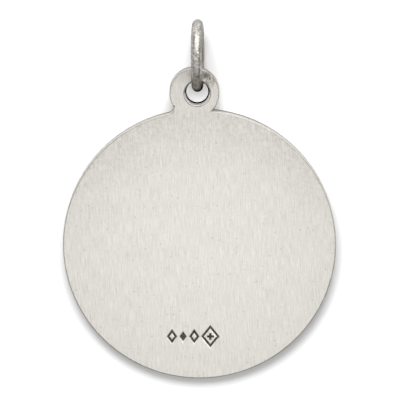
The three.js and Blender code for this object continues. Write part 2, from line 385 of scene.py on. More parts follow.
def ease_edges(piece, width, segments, test):
    """Rounds, in edit mode, the edges whose ends both pass the test."""
    activate(piece)
    bpy.ops.object.mode_set(mode="EDIT")
    bpy.ops.mesh.select_mode(type="EDGE")
    bpy.ops.mesh.select_all(action="DESELECT")
    mesh = bmesh.from_edit_mesh(piece.data)
    for edge in mesh.edges:
        sharp = edge.calc_face_angle(0) > SHARP_ANGLE
        if sharp and all(test(end.co) for end in edge.verts):
            edge.select_set(True)
    bmesh.update_edit_mesh(piece.data)
    bpy.ops.mesh.bevel(offset=width, segments=segments, clamp_overlap=False)
    bpy.ops.mesh.select_mode(type="VERT")
    bpy.ops.object.mode_set(mode="OBJECT")


def bevel_edges(piece, width):
    modifier = piece.modifiers.new("ease", "BEVEL")
    modifier.width = width
    modifier.segments = 3
    modifier.limit_method = "ANGLE"
    modifier.angle_limit = BEVEL_ANGLE
    activate(piece)
    bpy.ops.object.modifier_apply(modifier=modifier.name)


def crossing(disc_reach, ear_reach, side):
    """Where a circle about the disc's centre meets one about the ear's, on the given side."""
    distance = EAR_CENTRE.length
    along = (disc_reach ** 2 - ear_reach ** 2 + distance ** 2) / (2 * distance)
    across = math.sqrt(disc_reach ** 2 - along ** 2)
    up = EAR_CENTRE.normalized()
    right = Vector((up.y, -up.x))
    return up * along + right * (side * across)


def angle_of(way):
    return math.atan2(way.y, way.x)


NECK_CORNER = crossing(DISC_RADIUS, EAR_RADIUS, 1)
FILLET_CENTRE = crossing(DISC_RADIUS + NECK_FILLET, EAR_RADIUS + NECK_FILLET, -1)


def medal_blank():
    """Disc and ear: one outline drawn by three spins, a sharp neck corner right and a fillet left."""
    full = 2 * math.pi
    ear_end = angle_of(FILLET_CENTRE - EAR_CENTRE) + full
    disc_start = angle_of(FILLET_CENTRE)
    spins = [
        (EAR_CENTRE, ear_end - angle_of(NECK_CORNER - EAR_CENTRE), EAR_STEPS),
        (FILLET_CENTRE, disc_start - ear_end, FILLET_STEPS),
        (Vector((0, 0)), angle_of(NECK_CORNER) + full - disc_start, DISC_STEPS),
    ]
    deselect()
    bpy.ops.mesh.primitive_plane_add(size=1, location=(*NECK_CORNER, -THICKNESS))
    blank = named("medal_body")
    apply_place(blank)
    bpy.ops.object.mode_set(mode="EDIT")
    bpy.ops.mesh.select_all(action="SELECT")
    bpy.ops.mesh.merge(type="CENTER")
    for centre, turn, steps in spins:
        bpy.ops.mesh.spin(steps=steps, angle=-turn, center=(centre.x, centre.y, 0), axis=(0, 0, 1))
    bpy.ops.mesh.select_all(action="SELECT")
    bpy.ops.mesh.remove_doubles(threshold=SAME_POINT)
    bpy.ops.mesh.edge_face_add()
    bpy.ops.mesh.extrude_region_move(TRANSFORM_OT_translate={"value": (0, 0, THICKNESS)})
    bpy.ops.mesh.select_all(action="SELECT")
    bpy.ops.mesh.normals_make_consistent(inside=False)
    bpy.ops.object.mode_set(mode="OBJECT")
    for level in (0, -THICKNESS):
        ease_edges(blank, EDGE_EASE, 3, lambda place: abs(place.z - level) < SAME_PLACE)
    return blank


def drill_hole(blank):
    """Ear hole: a disc above the back face, drawn down and narrowed step by step to the lip."""
    bore = HOLE_RADIUS - HOLE_EASE
    steps = [(PAST, bore), (0, bore), (LIP_TOP_Z + LIP_SLOPE, HOLE_WAIST),
             (LIP_TOP_Z, HOLE_LIP), (-THICKNESS - PAST, HOLE_LIP)]
    top, radius = steps[0]
    deselect()
    bpy.ops.mesh.primitive_circle_add(
        vertices=HOLE_SIDES, radius=radius, fill_type="NGON", location=(*HOLE_CENTRE, top))
    drill = named("drill")
    apply_place(drill)
    bpy.ops.object.mode_set(mode="EDIT")
    bpy.ops.mesh.select_all(action="SELECT")
    for (above, wide), (below, narrow) in zip(steps, steps[1:]):
        bpy.ops.mesh.extrude_region_move(TRANSFORM_OT_translate={"value": (0, 0, below - above)})
        bpy.ops.transform.resize(
            value=(narrow / wide, narrow / wide, 1), center_override=(*HOLE_CENTRE, below))
        if below == LIP_TOP_Z:
            bpy.ops.transform.translate(value=(0, -LIP_DROP, 0))
    bpy.ops.mesh.select_all(action="SELECT")
    bpy.ops.mesh.normals_make_consistent(inside=False)
    bpy.ops.object.mode_set(mode="OBJECT")
    boolean(blank, drill, "DIFFERENCE")
    middle = (HOLE_CENTRE.x, NOTCH_Y, -THICKNESS / 2)
    notch = cylinder("notch", NOTCH_RADIUS, 3 * THICKNESS, middle, NOTCH_SIDES)
    boolean(blank, notch, "DIFFERENCE")
    ease_edges(blank, HOLE_EASE, 2, lambda place: (
        (place.xy - HOLE_CENTRE).length < HOLE_RADIUS + PAST and abs(place.z) < SAME_PLACE))


def cut_field(blank):
    """Sunk field of the front: a shallow cone whose wide end is past the front face."""
    wide = FIELD_RADIUS + FIELD_SLOPE * PAST / FIELD_DEPTH
    depth = FIELD_DEPTH + PAST
    deselect()
    bpy.ops.mesh.primitive_cone_add(
        vertices=FIELD_SIDES, radius1=wide, radius2=FIELD_RADIUS - FIELD_SLOPE, depth=depth,
        location=(0, 0, FIELD_Z - depth / 2))
    tool = named("field")
    apply_place(tool)
    boolean(blank, tool, "DIFFERENCE")
    ease_edges(blank, RIM_EASE, 2, lambda place: (
        place.z < -THICKNESS + SAME_PLACE and abs(place.xy.length - FIELD_RADIUS) < RIM_EASE))


def copy_of(piece, name):
    """A copy with a mesh of its own."""
    twin = piece.copy()
    twin.data = piece.data.copy()
    twin.name = name
    bpy.context.collection.objects.link(twin)
    return twin


def select_faces(piece, test):
    """Selects, in edit mode, the faces of the piece that the test picks by centre and normal."""
    mesh = bmesh.from_edit_mesh(piece.data)
    for face in mesh.faces:
        face.select_set(False)
    for face in mesh.faces:
        if test(face.calc_center_median(), face.normal):
            face.select_set(True)
    bmesh.update_edit_mesh(piece.data)


def crossed_block(name, centre, waist, height, arms, flare):
    """A block whose four sides are drawn out into arms and widened to the flare at their ends."""
    deselect()
    bpy.ops.mesh.primitive_cube_add(size=1, location=centre, scale=(waist, waist, height))
    block = named(name)
    apply_place(block)
    bpy.ops.object.mode_set(mode="EDIT")
    ways = {"right": (1, 0), "up": (0, 1), "left": (-1, 0), "down": (0, -1)}
    for arm, (x, y) in ways.items():
        way = Vector((x, y, 0))
        side = centre + way * waist / 2
        select_faces(block, lambda place, normal: (place - side).length < SAME_PLACE)
        bpy.ops.mesh.extrude_region_move(TRANSFORM_OT_translate={"value": way * (arms[arm] - waist / 2)})
        widen = flare / waist
        bpy.ops.transform.resize(
            value=(widen if x == 0 else 1, widen if y == 0 else 1, 1),
            center_override=centre + way * arms[arm])
    bpy.ops.object.mode_set(mode="OBJECT")
    return block


def relief_cross():
    height = CROSS_RELIEF + RELIEF_SINK
    centre = Vector((0, CROSS_BAR_Y, FIELD_Z - CROSS_RELIEF + height / 2))
    cross = crossed_block("cross", centre, CROSS_WAIST, height, CROSS_ARMS, CROSS_FLARE)
    bevel_edges(cross, CROSS_EASE)
    return cross


def relief_ray(name, length):
    """Ray along +X from the crossing: a ridge that widens outwards and ends in a short point."""
    deselect()
    bpy.ops.mesh.primitive_cone_add(
        vertices=4, radius1=RAY_FOOT, radius2=RAY_WIDTH / 2, depth=length,
        location=(RAY_START + length / 2, 0, 0), rotation=(0, math.pi / 2, 0))
    ray = named(name)
    apply_place(ray)
    activate(ray)
    end = RAY_START + length
    bpy.ops.object.mode_set(mode="EDIT")
    select_faces(ray, lambda centre, normal: centre.x > end - SAME_PLACE)
    bpy.ops.mesh.extrude_region_move(TRANSFORM_OT_translate={"value": (RAY_WIDTH, 0, 0)})
    bpy.ops.transform.resize(value=(1, RAY_TIP, RAY_TIP), center_override=(end + RAY_WIDTH, 0, 0))
    bpy.ops.object.mode_set(mode="OBJECT")
    ray.scale = (1, 1, RAY_RELIEF / (RAY_WIDTH / 2))
    apply_place(ray)
    return ray


def relief_rays():
    pieces = []
    for row in RAYS:
        first = relief_ray("ray", row["length"])
        for corner in (45, 135, 225, 315):
            ray = copy_of(first, "ray")
            ray.rotation_euler.z = math.radians(corner + row["turn"])
            ray.location = (0, CROSS_BAR_Y, RELIEF_FOOT_Z)
            apply_place(ray)
            pieces.append(ray)
        bpy.data.objects.remove(first)
    return pieces


def relief_beads():
    deselect()
    bpy.ops.mesh.primitive_uv_sphere_add(segments=20, ring_count=12, radius=BEAD_RADIUS)
    first = named("bead")
    beads = []
    for index in range(BEAD_COUNT):
        turn = index * 2 * math.pi / BEAD_COUNT
        bead = copy_of(first, "bead")
        bead.location = (BEAD_PATH * math.cos(turn), BEAD_PATH * math.sin(turn), RELIEF_FOOT_Z)
        apply_place(bead)
        beads.append(bead)
    bpy.data.objects.remove(first)
    return joined(beads)


def line_punch(size, x, line):
    """Punch for a diamond line: a four-sided ring of round section, partly in the metal."""
    deselect()
    bpy.ops.mesh.primitive_torus_add(
        major_segments=4, minor_segments=line["sides"], location=(x, line["y"], line["rise"]),
        major_radius=size.x / 2 - LINE_INSET, minor_radius=line["radius"])
    punch = named("punch")
    punch.scale.y = size.y / size.x
    apply_place(punch)
    return punch


def full_punch(size, x):
    """Punch for a full diamond: a four-sided pit with sloping walls and a small flat floor."""
    deselect()
    bpy.ops.mesh.primitive_cone_add(
        vertices=4, radius1=size.x * PIT_FLOOR, radius2=size.x * PIT_TOP, depth=PIT_HEIGHT,
        location=(x, MARK_Y, PIT_LIFT))
    punch = named("punch")
    punch.scale.y = size.y / size.x
    apply_place(punch)
    return punch


def small_cross_punch(x):
    """Punch for a cross with equal arms, rounded so that its grooves are too."""
    arms = dict.fromkeys(CROSS_ARMS, SMALL_CROSS_SPAN / 2)
    punch = crossed_block(
        "punch", Vector((x, MARK_Y, 0)), SMALL_CROSS_WIDTH, SMALL_CROSS_HEIGHT, arms, SMALL_CROSS_WIDTH)
    bevel_edges(punch, SMALL_CROSS_EASE)
    return punch


def strike_marks(medal):
    """The row of marks: open, full and open diamond, and a lozenge with a small cross in it."""
    punches = [
        line_punch(DIAMOND_SIZE, DIAMOND_XS[0], DEEP_LINE),
        full_punch(DIAMOND_SIZE, DIAMOND_XS[1]),
        line_punch(DIAMOND_SIZE, DIAMOND_XS[2], DEEP_LINE),
        line_punch(LOZENGE_SIZE, LOZENGE_X, DEEP_LINE),
    ]
    boolean(medal, joined(punches), "DIFFERENCE")
    ease_edges(medal, MARK_EASE, 3, lambda place: (
        abs(place.z) < SAME_PLACE and abs(place.y - MARK_Y) < LOZENGE_SIZE.y
        and abs(place.x) < MARKS_REACH))
    softer = [
        line_punch(DIAMOND_SIZE, DIAMOND_XS[0], SOFT_LINE),
        line_punch(DIAMOND_SIZE * FULL_DIAMOND, DIAMOND_XS[1], SOFT_LINE),
        line_punch(DIAMOND_SIZE, DIAMOND_XS[2], SOFT_LINE),
        line_punch(LOZENGE_SIZE, LOZENGE_X, SOFT_LINE),
    ]
    boolean(medal, joined(softer), "DIFFERENCE")
    boolean(medal, small_cross_punch(LOZENGE_X), "DIFFERENCE")
    middle = Vector((LOZENGE_X, MARK_Y))
    ease_edges(medal, SMALL_EASE, 2, lambda place: (
        abs(place.z) < SAME_PLACE and (place.xy - middle).length < SMALL_CROSS_REACH))


def smooth(piece):
    """Smooth shading with the large flat faces kept flat."""
    activate(piece)
    bpy.ops.object.shade_smooth_by_angle(angle=CREASE_ANGLE)
    modifier = piece.modifiers.new("flats", "WEIGHTED_NORMAL")
    modifier.keep_sharp = True
    bpy.ops.object.modifier_apply(modifier=modifier.name)


def finish_place(piece, turn, origin):
    """Brings a finished piece to metres and to its place, with the object at the world's origin."""
    piece.scale = (MM,) * 3
    piece.rotation_euler = turn
    piece.location = origin
    apply_place(piece)


def make_medal():
    medal = medal_blank()
    drill_hole(medal)
    cut_field(medal)
    boolean(medal, relief_cross(), "UNION")
    for ray in relief_rays():
        boolean(medal, ray, "UNION")
    boolean(medal, relief_beads(), "UNION")
    strike_marks(medal)
    smooth(medal)
    finish_place(medal, (LEAN, 0, 0), MEDAL_ORIGIN)
    return medal


def make_pip(ring):
    """A low round swelling of the wire with a dimple in its middle."""
    bpy.ops.object.mode_set(mode="EDIT")
    nearest = min(ring.data.vertices, key=lambda vertex: (vertex.co - PIP_PLACE).length)
    place = nearest.co.copy()
    mesh = bmesh.from_edit_mesh(ring.data)
    for vertex in mesh.verts:
        vertex.select_set((vertex.co - place).length < PIP_HEART)
    bmesh.update_edit_mesh(ring.data)
    for amount, size in ((PIP_RISE, 2 * PIP_RADIUS), (-PIP_SINK, PIP_RADIUS)):
        bpy.ops.transform.translate(value=PIP_WAY * amount, use_proportional_edit=True,
                                    proportional_edit_falloff="SMOOTH", proportional_size=size)
    bpy.ops.object.mode_set(mode="OBJECT")


def make_ring():
    """Round wire ring, upright in the ear, a little uneven, with the pip of its soldered joint."""
    deselect()
    bpy.ops.mesh.primitive_torus_add(
        major_segments=RING_STEPS, minor_segments=WIRE_SIDES,
        major_radius=RING_MEAN_RADIUS, minor_radius=WIRE_RADIUS)
    ring = named("jump_ring_wire")
    uneven = bpy.data.textures.new("uneven wire", "CLOUDS")
    uneven.noise_scale = UNEVEN_LENGTH
    uneven.noise_depth = 2
    modifier = ring.modifiers.new("uneven", "DISPLACE")
    modifier.texture = uneven
    modifier.strength = WIRE_UNEVEN
    modifier.mid_level = 1
    activate(ring)
    bpy.ops.object.modifier_apply(modifier=modifier.name)
    bpy.ops.object.shade_smooth()
    ring.rotation_euler = (0, math.pi / 2 + RING_TURN, 0)
    apply_place(ring)
    make_pip(ring)
    finish_place(ring, (0, 0, 0), (RING_CENTRE + RING_NUDGE) * MM)
    return ring


class Nodes:
    """A material's or world's node tree, built node by node."""

    def __init__(self, tree):
        self.tree = tree
        tree.nodes.clear()

    def add(self, kind, settings=None, **inputs):
        node = self.tree.nodes.new(kind)
        for key, value in (settings or {}).items():
            setattr(node, key, value)
        for key, value in inputs.items():
            self.put(node, key.replace("_", " "), value)
        return node

    def put(self, node, key, value):
        socket = node.inputs[int(key) if key.isdigit() else key]
        if isinstance(value, bpy.types.NodeSocket):
            self.tree.links.new(value, socket)
        else:
            socket.default_value = value

    def math(self, operation, first, second=0.0):
        node = self.add("ShaderNodeMath", {"operation": operation})
        self.put(node, "0", first)
        self.put(node, "1", second)
        return node.outputs[0]

    def ramp(self, value, low, high, start=0.0, end=1.0):
        """Straight change from start to end while value goes from low to high, held outside them."""
        node = self.add("ShaderNodeMapRange")
        for key, number in (("0", value), ("1", low), ("2", high), ("3", start), ("4", end)):
            self.put(node, key, number)
        return node.outputs[0]

    def band(self, value, start, full, fade, end):
        """Rises to one while value goes from start to full, and falls again from fade to end."""
        return self.math("MULTIPLY", self.ramp(value, start, full), self.ramp(value, fade, end, 1.0, 0.0))

    def noise(self, vector, scale, detail=2.0, roughness=0.5):
        node = self.add("ShaderNodeTexNoise", Vector=vector, Scale=scale, Detail=detail,
                        Roughness=roughness)
        return node.outputs[0]

    def mix(self, factor, first, second):
        node = self.add("ShaderNodeMix", {"data_type": "RGBA"})
        self.put(node, "0", factor)
        self.put(node, "6", first)
        self.put(node, "7", second)
        return node.outputs[2]

    def product(self, first, *others):
        result = first
        for other in others:
            result = self.math("MULTIPLY", result, other)
        return result

    def total(self, *weighted):
        """Sum of values, each with its weight."""
        terms = [self.math("MULTIPLY", value, weight) for value, weight in weighted]
        result = terms[0]
        for term in terms[1:]:
            result = self.math("ADD", result, term)
        return result

    def pits(self, vector, scale, share, radius):
        """Small round pits, in a share of the cells of an uneven net."""
        cells = self.add("ShaderNodeTexVoronoi", Vector=vector, Scale=scale)
        chance = self.add("ShaderNodeSeparateColor", Color=cells.outputs["Color"]).outputs[0]
        picked = self.ramp(chance, share, share + PIT_BLEND)
        edge = radius * scale
        dip = self.ramp(cells.outputs["Distance"], edge, PIT_BOTTOM * radius * scale)
        return self.math("MULTIPLY", picked, dip)

    def stretched(self, vector, scale):
        return self.add("ShaderNodeMapping", Vector=vector, Scale=scale).outputs[0]

    def distance(self, vector, centre):
        node = self.add("ShaderNodeVectorMath", {"operation": "DISTANCE"})
        self.put(node, "0", vector)
        self.put(node, "1", centre)
        return node.outputs[1]


def new_material(name):
    material = bpy.data.materials.new(name)
    material.use_nodes = True
    return material, Nodes(material.node_tree)


def local_millimetres(nodes, origin, turn):
    """Object coordinates turned back into a piece's own frame, in millimetres."""
    place = nodes.add("ShaderNodeTexCoord").outputs["Object"]
    node = nodes.add("ShaderNodeMapping", {"vector_type": "TEXTURE"}, Vector=place,
                     Location=origin, Rotation=turn, Scale=(MM,) * 3)
    return node.outputs[0]


def inward_depth(nodes, flat):
    """How far a place on the medal is inside its outline."""
    in_disc = nodes.math("SUBTRACT", DISC_RADIUS, nodes.distance(flat, (0, 0, 0)))
    in_ear = nodes.math("SUBTRACT", EAR_RADIUS, nodes.distance(flat, (*EAR_CENTRE, 0)))
    from_fillet = nodes.distance(flat, (*FILLET_CENTRE, 0))
    in_neck = nodes.math("SUBTRACT", from_fillet, NECK_FILLET)
    to_ear = (EAR_CENTRE - FILLET_CENTRE).normalized()
    to_disc = -FILLET_CENTRE.normalized()
    sides = [nodes.math("LESS_THAN", from_fillet, 3 * NECK_FILLET)]
    for edge, other in ((to_ear, to_disc), (to_disc, to_ear)):
        across = Vector((-edge.y, edge.x))
        across *= 1 if across.dot(other) > 0 else -1
        offset = nodes.add("ShaderNodeVectorMath", {"operation": "DOT_PRODUCT"})
        nodes.put(offset, "0", flat)
        nodes.put(offset, "1", (*across, 0))
        sides.append(nodes.math("GREATER_THAN", offset.outputs[1], across.dot(FILLET_CENTRE)))
    in_neck = nodes.product(in_neck, *sides)
    return nodes.math("MAXIMUM", nodes.math("MAXIMUM", in_disc, in_ear), in_neck)


def brushed_tone(nodes, place, brushed, flat, y):
    """Light and dark of the brushed metal, with painted shade darker towards the rim, darker and coarser
    near the upper rim, with two of its noises.
    """
    fine = nodes.noise(nodes.stretched(brushed, FINE_LINES), *BRUSH_NOISE)
    broad = nodes.noise(nodes.stretched(brushed, BROAD_LINES), *BROAD_NOISE)
    mottle = nodes.noise(place, *MOTTLE_NOISE)
    cloud = nodes.noise(place, *CLOUD_NOISE)
    from_middle = nodes.distance(flat, (0, 0, 0))
    # Painted shade: the face grows darker towards the rim.
    painted_rim_shade = nodes.math("POWER", nodes.math("DIVIDE", from_middle, DISC_RADIUS), 2)
    high_rim = nodes.product(nodes.ramp(from_middle, *RIM_SPAN), nodes.ramp(y, *RIM_HIGH_SPAN),
                             nodes.ramp(y, *RIM_NECK_SPAN, 1.0, 0.2))
    coarse = nodes.ramp(nodes.noise(place, *COARSE_NOISE), 0.3, 0.7, -1.0, 1.0)
    grain = nodes.math("MULTIPLY", high_rim, coarse)
    tone = nodes.total((fine, 0.68), (broad, 0.06), (mottle, 0.18), (cloud, 0.08),
                       (painted_rim_shade, -0.1), (high_rim, -0.1), (grain, 0.14))
    return tone, fine, mottle


def worn_and_shaded_edge(nodes, colour, place, brushed, inward, y, z):
    """Tarnish and painted shade along the outline: an uneven line, darker towards the bottom, the ends of
    brush lines, and painted shade on the wall's foot and, towards the bottom, on its shoulder.
    """
    # Painted shade: the edge line and the shoulder grow darker towards the bottom.
    low_shade = nodes.ramp(y, *LOW_SHADE_SPAN, 0.5, 1.0)
    uneven = nodes.ramp(nodes.noise(place, *EDGE_NOISE), 0.35, 0.65, 0.4, 0.85)
    line = nodes.product(nodes.band(inward, *EDGE_LINE), uneven, low_shade)
    colour = nodes.mix(line, colour, TARNISH_AND_SHADE)
    ticks = nodes.noise(nodes.stretched(brushed, TICK_LINES), *BRUSH_NOISE)
    frayed = nodes.math("MULTIPLY", nodes.ramp(inward, *FRAYED_SPAN), nodes.ramp(ticks, 0.58, 0.7, 0.0, 0.5))
    colour = nodes.mix(frayed, colour, TARNISH_AND_SHADE)
    # Painted shade on the wall's lower part and, towards the bottom, on its shoulder, which dims its
    # reflection.
    foot = nodes.ramp(z, *FOOT_SHADE_SPAN, 0.3, 0.85)
    shoulder = nodes.math("MULTIPLY", nodes.ramp(z, *SHOULDER_SHADE_SPAN, 0.0, 0.75), low_shade)
    wall = nodes.math("MULTIPLY", nodes.ramp(inward, *WALL_SPAN), nodes.math("MAXIMUM", foot, shoulder))
    return nodes.mix(wall, colour, TARNISH_AND_SHADE)


def shaded_neck(nodes, colour, flat, inward, z):
    """Painted shade in the neck's sharp corner and along the wall's foot beside it, and a dark mark in one
    nick of the edge.
    """
    from_corner = nodes.distance(flat, (*NECK_CORNER, 0))
    in_corner = nodes.ramp(from_corner, *CORNER_SPAN, 0.0, 0.95)
    near = nodes.ramp(from_corner, *BESIDE_CORNER_SPAN)
    beside = nodes.math("MULTIPLY", near, nodes.ramp(inward, *WALL_SPAN))
    at_foot = nodes.ramp(z, *CORNER_FOOT_SPAN)
    corner = nodes.math("MULTIPLY", nodes.math("MAXIMUM", in_corner, beside), at_foot)
    from_nick = nodes.distance(flat, NICK_PLACE)
    nick = nodes.math("MULTIPLY", nodes.ramp(from_nick, *NICK_SPAN, 0.0, 0.8),
                      nodes.ramp(inward, *NICK_DEPTH_SPAN))
    return nodes.mix(nodes.math("MAXIMUM", corner, nick), colour, OXIDE_AND_SHADE)


def shaded_ear(nodes, colour, flat, brushed, y):
    """Painted shadow of the ring on the ear right of it, streaked like tarnish, and a weaker streaky
    darkening along the top of the ear.
    """
    streaks = nodes.noise(nodes.stretched(brushed, STREAK_LINES), *STREAK_NOISE)
    near = nodes.ramp(nodes.distance(flat, RING_SHADOW_PLACE), *RING_SHADOW_SPAN)
    # Painted shadow of the ring, streaked.
    ring_shadow = nodes.math("MULTIPLY", near, nodes.ramp(streaks, 0.42, 0.53, 0.05, 1.0))
    colour = nodes.mix(ring_shadow, colour, TARNISH_AND_SHADE)
    high_ear = nodes.math("MULTIPLY", nodes.ramp(y, *EAR_TOP_SPAN), nodes.ramp(streaks, 0.3, 0.7, 0.05, 0.5))
    return nodes.mix(high_ear, colour, TARNISH_AND_SHADE)


def shaded_hole(nodes, colour, place, flat, y, z):
    """Painted shade on the lip and upper mouth of the ear hole, which also darkens their reflection at a
    glance, and a dark uneven line round the hole.
    """
    from_hole = nodes.distance(flat, (*HOLE_CENTRE, 0))
    in_hole = nodes.ramp(from_hole, *HOLE_SPAN, 1.0, 0.0)
    lip = nodes.math("MULTIPLY", in_hole, nodes.ramp(z, *LIP_SPAN))
    mouth = nodes.math("MULTIPLY", nodes.ramp(from_hole, *MOUTH_SPAN, 0.0, 0.85),
                       nodes.ramp(y, *MOUTH_HIGH_SPAN))
    # Painted shade inside the hole; the tint dims its reflection too.
    dark = nodes.math("MAXIMUM", lip, mouth)
    colour = nodes.mix(dark, colour, OXIDE_AND_SHADE)
    shaded_glance_tint = nodes.mix(dark, WHITE, OXIDE_AND_SHADE)
    uneven = nodes.ramp(nodes.noise(place, *HOLE_NOISE), 0.35, 0.6, 0.4, 0.9)
    line = nodes.math("MULTIPLY", nodes.band(from_hole, *HOLE_LINE), uneven)
    return nodes.mix(line, colour, TARNISH_AND_SHADE), shaded_glance_tint


def dark_marks(nodes, colour, place, x, y, z):
    """Oxide in the depth of the struck marks, within a box around their row."""
    depth = nodes.ramp(z, *MARK_DEPTH_SPAN, 1.0, 0.0)
    aside = nodes.math("ABSOLUTE", nodes.math("SUBTRACT", x, MARKS_MIDDLE_X))
    across = nodes.ramp(aside, *MARKS_ACROSS_SPAN, 1.0, 0.0)
    beyond = nodes.math("ABSOLUTE", nodes.math("SUBTRACT", y, MARK_Y))
    along = nodes.ramp(beyond, *MARKS_ALONG_SPAN, 1.0, 0.0)
    above = nodes.ramp(z, *MARKS_BACK_SPAN)
    uneven = nodes.ramp(nodes.noise(place, *MARK_NOISE), 0.35, 0.65, 0.88, 1.0)
    return nodes.mix(nodes.product(depth, across, along, above, uneven), colour, OXIDE_AND_SHADE)


def dark_field(nodes, colour, mottle, z):
    """Oxide on the floor of the front's sunk field."""
    above_floor = nodes.ramp(z, *FIELD_ABOVE_SPAN)
    below_floor = nodes.ramp(z, *FIELD_BELOW_SPAN, 1.0, 0.0)
    uneven = nodes.ramp(mottle, 0.3, 0.7, 0.6, 0.9)
    return nodes.mix(nodes.product(above_floor, below_floor, uneven), colour, OXIDE_AND_SHADE)


def medal_silver():
    """Brushed back with fine lines and pits, dark with oxide in the marks and the front's hollows, and
    painted shade along the edge, in the neck, right of the ring and in the hole.
    """
    material, nodes = new_material("brushed silver")
    place = local_millimetres(nodes, MEDAL_ORIGIN, (LEAN, 0, 0))
    x, y, z = nodes.add("ShaderNodeSeparateXYZ", Vector=place).outputs
    flat = nodes.add("ShaderNodeCombineXYZ", X=x, Y=y).outputs[0]
    brushed = nodes.add("ShaderNodeMapping", Vector=place, Rotation=(0, 0, BRUSH_TILT)).outputs[0]
    inward = inward_depth(nodes, flat)

    tone, fine, mottle = brushed_tone(nodes, place, brushed, flat, y)
    colour = nodes.mix(nodes.ramp(tone, *MEDAL_TONE), SILVER_LOW, SILVER_HIGH)
    pits = nodes.pits(place, *MEDAL_PITS)
    colour = nodes.mix(nodes.math("MULTIPLY", pits, MEDAL_PIT_DARK), colour, TARNISH_AND_SHADE)
    colour = worn_and_shaded_edge(nodes, colour, place, brushed, inward, y, z)
    colour = shaded_neck(nodes, colour, flat, inward, z)
    colour = shaded_ear(nodes, colour, flat, brushed, y)
    colour, shaded_glance_tint = shaded_hole(nodes, colour, place, flat, y, z)
    colour = dark_marks(nodes, colour, place, x, y, z)
    colour = dark_field(nodes, colour, mottle, z)

    rough = nodes.ramp(fine, *MEDAL_ROUGH)
    relief = nodes.math("SUBTRACT", tone, nodes.math("MULTIPLY", pits, MEDAL_PIT_DEPTH))
    bump = nodes.add("ShaderNodeBump", **MEDAL_BUMP, Height=relief)
    shader = nodes.add("ShaderNodeBsdfPrincipled", Base_Color=colour, Roughness=rough,
                       Normal=bump.outputs[0], Metallic=1.0, Specular_Tint=shaded_glance_tint)
    nodes.add("ShaderNodeOutputMaterial", Surface=shader.outputs[0])
    return material


def wire_shade_along_y(nodes, y):
    """Painted shade of the wire along Y, shaping its shine: less where it shines, more at its top, below the
    shine and low.
    """
    in_shine = nodes.math("MULTIPLY", nodes.ramp(y, *SHINE_FOOT_SPAN, 0.0, 0.3),
                          nodes.ramp(y, *SHINE_TOP_SPAN, 1.0, 0.0))
    high_end = nodes.math("MAXIMUM", in_shine, nodes.ramp(y, *RING_TOP_SPAN, 0.0, 0.45))
    coming, going = BELOW_SHINE_SPANS
    below_shine = nodes.math("MULTIPLY", nodes.ramp(y, *coming), nodes.ramp(y, *going, 0.6, 0.0))
    high_end = nodes.math("MAXIMUM", high_end, below_shine)
    low_end = nodes.ramp(y, *LOW_END_SPAN, 0.0, 0.45)
    return nodes.math("MAXIMUM", high_end, low_end)


def wire_side_shade(nodes, side, aside, speck, y, z):
    """Painted shade on the wire's flanks and on its underside towards the table, and a dark streak along its
    upper side.
    """
    left = nodes.math("MAXIMUM", nodes.ramp(y, *LEFT_LOW_SPAN, 0.25, 0.75),
                      nodes.ramp(y, *LEFT_HIGH_SPAN, 0.25, 0.65))
    right = nodes.ramp(y, *RIGHT_SPAN, 0.5, 0.4)
    on_left = nodes.math("LESS_THAN", side, 0.0)
    on_right = nodes.math("SUBTRACT", 1.0, on_left)
    flank_shade = nodes.math("MAXIMUM", nodes.math("MULTIPLY", on_left, left),
                       nodes.math("MULTIPLY", on_right, right))
    # Painted shade: darker flanks outline the wire.
    flank = nodes.math("MULTIPLY", nodes.ramp(aside, *FLANK_SIDE_SPAN), flank_shade)
    from_streak = nodes.math("ABSOLUTE", nodes.math("SUBTRACT", side, STREAK_SIDE))
    streak = nodes.product(nodes.ramp(from_streak, *STREAK_SIDE_SPAN), nodes.ramp(y, *STREAK_SPAN),
                           nodes.ramp(speck, 0.4, 0.55, 0.9, 0.4))
    flank = nodes.math("MAXIMUM", flank, streak)
    # Painted shade on the wire's lower half, near the table.
    underside = nodes.ramp(z, *UNDERSIDE_Z_SPAN, 0.0, 0.6)
    return nodes.math("MAXIMUM", flank, underside)


def wire_shade_in_hole(nodes, aside, y, z):
    """Painted shade on the wire where it goes through the ear hole: at both its sides and below."""
    low_side = nodes.math("MULTIPLY", nodes.ramp(y, *HOLE_SHADE_SPAN),
                          nodes.ramp(aside, *HOLE_SHADE_SIDE_SPAN, 0.0, 0.8))
    tip = nodes.math("MULTIPLY", nodes.ramp(y, *TIP_SPAN), nodes.ramp(z, *TIP_Z_SPAN))
    return nodes.math("MAXIMUM", low_side, tip)


